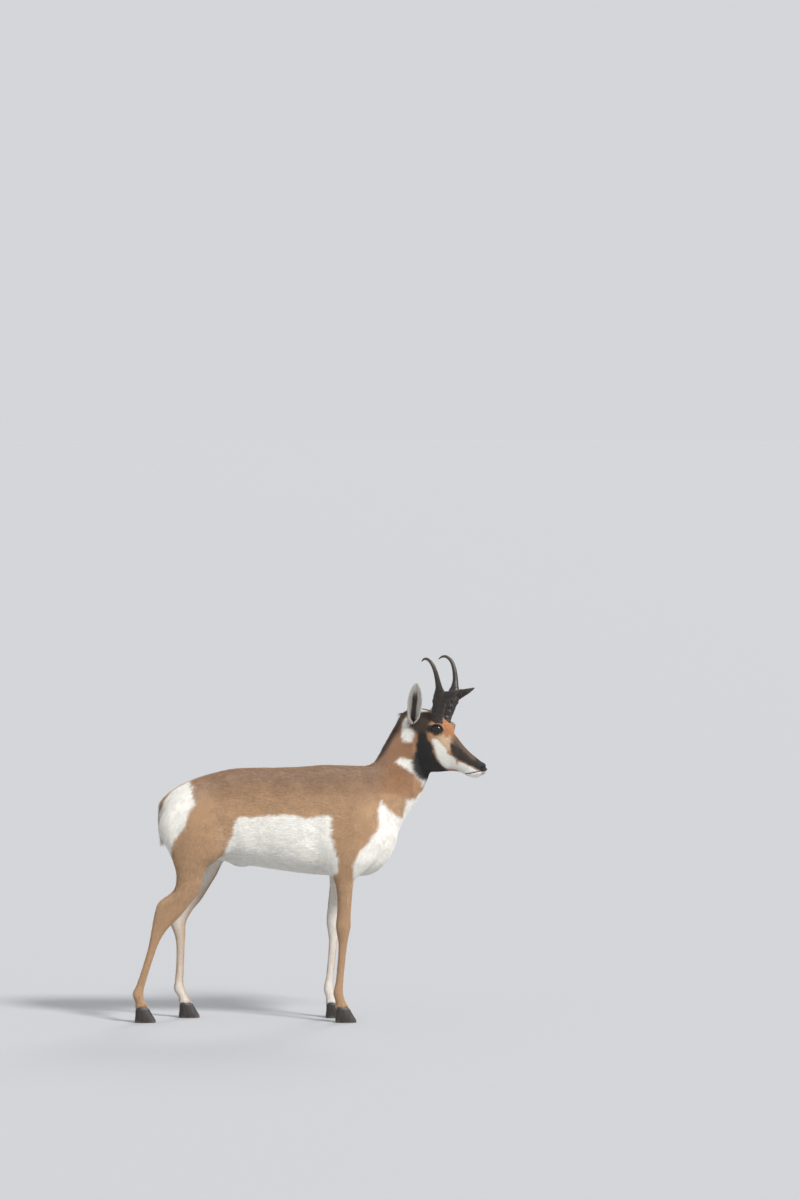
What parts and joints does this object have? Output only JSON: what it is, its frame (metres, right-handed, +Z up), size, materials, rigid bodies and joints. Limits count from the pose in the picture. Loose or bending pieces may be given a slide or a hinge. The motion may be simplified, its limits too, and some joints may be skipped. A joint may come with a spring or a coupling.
{
  "type": "pronghorn",
  "caption": "Life-size still model of a standing pronghorn buck, head turned to its right, with forked black horns, a tan and white coat and flat-soled hooves.",
  "frame": {"origin": "middle of the base of the box round the whole animal, on the floor that the soles stand on", "axes": "+X the way the trunk faces, +Y to the animal's left, +Z up"},
  "size_m": [1.2096, 0.2772, 1.2417],
  "materials": {
    "coat": "short dense tan fur, white below",
    "white_coat": "short dense white fur",
    "face": "very short fur, dark muzzle and white lips",
    "horn": "black horn, rough at the base and polished at the tips",
    "hoof": "black horn of the hoof, lightly grooved",
    "eye": "wet dark eye"
  },
  "bodies": {
    "root": {"trunk": "coat", "neck": "coat", "head": "face", "tail": "white_coat", "foreleg_right_upper": "coat", "foreleg_right_lower": "coat", "foreleg_right_hoof_outer": "hoof", "foreleg_right_hoof_inner": "hoof", "foreleg_left_upper": "coat", "foreleg_left_lower": "coat", "foreleg_left_hoof_outer": "hoof", "foreleg_left_hoof_inner": "hoof", "hind_leg_right_upper": "coat", "hind_leg_right_lower": "coat", "hind_leg_right_hoof_outer": "hoof", "hind_leg_right_hoof_inner": "hoof", "hind_leg_left_upper": "coat", "hind_leg_left_lower": "coat", "hind_leg_left_hoof_outer": "hoof", "hind_leg_left_hoof_inner": "hoof", "horn_right": "horn", "horn_right_prong": "horn", "ear_right": "white_coat", "eye_right": "eye", "horn_left": "horn", "horn_left_prong": "horn", "ear_left": "white_coat", "eye_left": "eye"}
  },
  "joints": []
}
